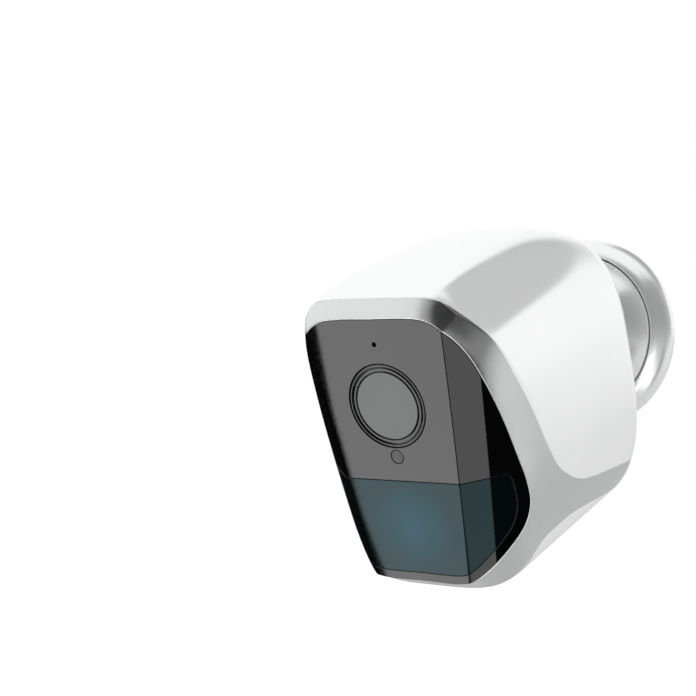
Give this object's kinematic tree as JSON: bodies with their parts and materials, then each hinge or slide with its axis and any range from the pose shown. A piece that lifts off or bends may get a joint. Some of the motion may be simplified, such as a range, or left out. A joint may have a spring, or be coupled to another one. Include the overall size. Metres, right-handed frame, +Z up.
{
  "type": "security camera",
  "caption": "Battery security camera with a glossy wrap-round visor and silver frame on a round magnetic ball wall mount.",
  "frame": {"origin": "centre of the mount's back face, on the wall", "axes": "+Y into the wall, -Y out of it towards the lens, +Z up, +X to the right-hand side seen from in front"},
  "size_m": [0.07, 0.1386, 0.1107],
  "materials": {
    "black_gloss": "deep gloss black",
    "black_matte": "black moulded plastic",
    "silver": "satin silver metallic paint on plastic",
    "white": "smooth satin white",
    "light_rubber": "light grey soft rubber",
    "teal_window": "dark infrared-passing window",
    "lens_glass": "coated lens cover",
    "grey_window": "smoked grey",
    "chip": "moulded package",
    "board": "green solder mask",
    "steel": "plated steel",
    "copper": "flex antenna foil",
    "cell_wrap": "shrink-wrapped cell",
    "rubber": "black rubber"
  },
  "bodies": {
    "wall_mount": {"wall_pad": "rubber", "wall_dish": "white", "swivel_washer": "rubber"},
    "ball": {"mount_dome": "white", "magnet": "steel", "magnet_holder": "black_matte", "swivel_screw": "steel"},
    "grip": {"grip_ring": "rubber"},
    "flap": {"port_flap": "light_rubber"},
    "card": {"memory_card": "chip"},
    "power_key": {"power_button": "grey_window"},
    "reset_key": {"reset_button": "grey_window"},
    "camera": {"front_visor": "black_gloss", "pir_window": "teal_window", "silver_frame": "silver", "white_shell": "white", "belly_cover": "white", "rear_panel": "white", "lens_ring": "black_gloss", "lens_glass": "lens_glass", "status_window": "grey_window", "lens_barrel": "black_matte", "image_sensor": "chip", "sensor_board": "board", "infrared_ring": "board", "microphone": "steel", "pir_sensor": "steel", "front_chassis": "black_matte", "main_board": "board", "processor": "chip", "radio_shield": "steel", "antenna": "copper", "battery_left": "cell_wrap", "battery_right": "cell_wrap", "battery_cradle": "black_matte", "speaker": "black_matte", "service_tray": "black_matte", "io_board": "board", "usb_socket": "steel", "card_socket": "steel", "steel_cup": "steel", "rear_screw_1": "steel", "rear_screw_2": "steel", "rear_screw_3": "steel", "rear_screw_4": "steel"}
  },
  "joints": [
    {"name": "dome_swivel", "type": "hinge", "parent": "wall_mount", "child": "ball", "pos_m": [0, -0.011, 0], "axis": [0, -1, 0], "continuous": true},
    {"name": "ball_tilt", "type": "hinge", "parent": "ball", "child": "grip", "pos_m": [0, 0.0014, 0], "axis": [1, 0, 0], "range_deg": [-48, 8]},
    {"name": "camera_roll", "type": "hinge", "parent": "grip", "child": "camera", "pos_m": [0, 0.0014, 0], "axis": [0, -0.9397, -0.342], "continuous": true},
    {"name": "flap_hinge", "type": "hinge", "parent": "camera", "child": "flap", "pos_m": [0, -0.02757, -0.05909], "axis": [1, 0, 0], "range_deg": [0, 100]},
    {"name": "card_slide", "type": "slide", "parent": "camera", "child": "card", "axis": [0, 0.342, -0.9397], "range_m": [-0.0008, 0.002]},
    {"name": "power_press", "type": "slide", "parent": "camera", "child": "power_key", "axis": [0, -0.342, 0.9397], "range_m": [0, 0.0006], "stiffness_N_per_m": 800},
    {"name": "reset_press", "type": "slide", "parent": "camera", "child": "reset_key", "axis": [0, -0.342, 0.9397], "range_m": [0, 0.0005], "stiffness_N_per_m": 800}
  ]
}
